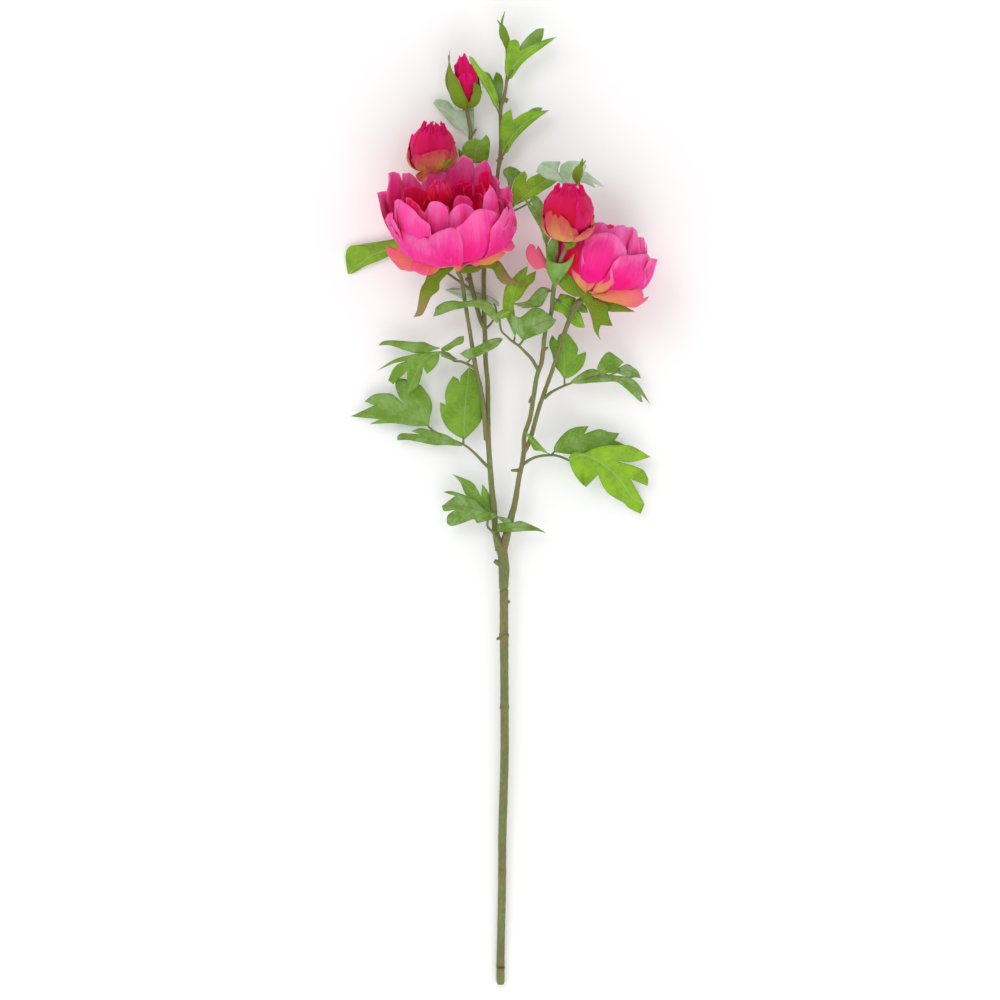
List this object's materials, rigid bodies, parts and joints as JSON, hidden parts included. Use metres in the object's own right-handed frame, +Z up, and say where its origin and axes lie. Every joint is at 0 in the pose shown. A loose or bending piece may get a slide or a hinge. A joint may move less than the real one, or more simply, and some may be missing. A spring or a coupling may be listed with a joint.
{
  "type": "artificial peony spray",
  "caption": "Long-stemmed artificial peony spray lying flat: open frilled blooms, rounded buds and divided leaves on a branching stem.",
  "frame": {"origin": "on the surface that the spray lies on, under the middle of its bounding box", "axes": "+Y along the stem from its cut end to the flowers, +Z up from the surface, +X to the right seen from above with the flowers away from the viewer"},
  "size_m": [0.3097, 0.975, 0.1364],
  "materials": {
    "stem_green": "satin moulded plastic",
    "leaf_green": "matt printed fabric",
    "leaf_pale": "matt fabric, paler underside",
    "petal_pink": "matt dyed silk-like fabric",
    "heart_crimson": "matt dyed silk-like fabric",
    "guard_salmon": "matt dyed silk-like fabric",
    "sepal_olive": "matt printed fabric",
    "bud_crimson": "matt dyed silk-like fabric",
    "bud_peach": "matt dyed silk-like fabric"
  },
  "bodies": {
    "root": {"stem": "stem_green", "leaf_01": "leaf_green", "leaf_02": "leaf_green", "leaf_03": "leaf_green", "leaf_04": "leaf_green", "leaf_05": "leaf_green", "leaf_06": "leaf_green", "leaf_07": "leaf_green", "leaf_08": "leaf_pale", "leaf_09": "leaf_green", "leaf_10": "leaf_green", "leaf_11": "leaf_green", "leaf_12": "leaf_green", "leaf_13": "leaf_green", "leaf_14": "leaf_pale", "leaf_15": "leaf_green", "leaf_16": "leaf_green", "leaf_17": "leaf_green", "leaf_18": "leaf_green", "leaf_19": "leaf_pale", "leaf_20": "leaf_green", "bloom_a_calyx": "sepal_olive", "bloom_a_guard_petals": "guard_salmon", "bloom_a_outer_petals": "petal_pink", "bloom_a_inner_petals": "petal_pink", "bloom_a_heart": "heart_crimson", "bloom_b_calyx": "sepal_olive", "bloom_b_guard_petals": "guard_salmon", "bloom_b_outer_petals": "petal_pink", "bloom_b_inner_petals": "petal_pink", "bloom_b_heart": "heart_crimson", "bud_c_calyx": "sepal_olive", "bud_c_foot_petals": "bud_peach", "bud_c_heart": "bud_crimson", "bud_d_calyx": "sepal_olive", "bud_d_foot_petals": "bud_peach", "bud_d_heart": "bud_crimson", "bud_e_sepals": "sepal_olive", "bud_e_heart": "bud_crimson", "tiny_bud_f": "sepal_olive", "tiny_bud_g": "sepal_olive"}
  },
  "joints": []
}
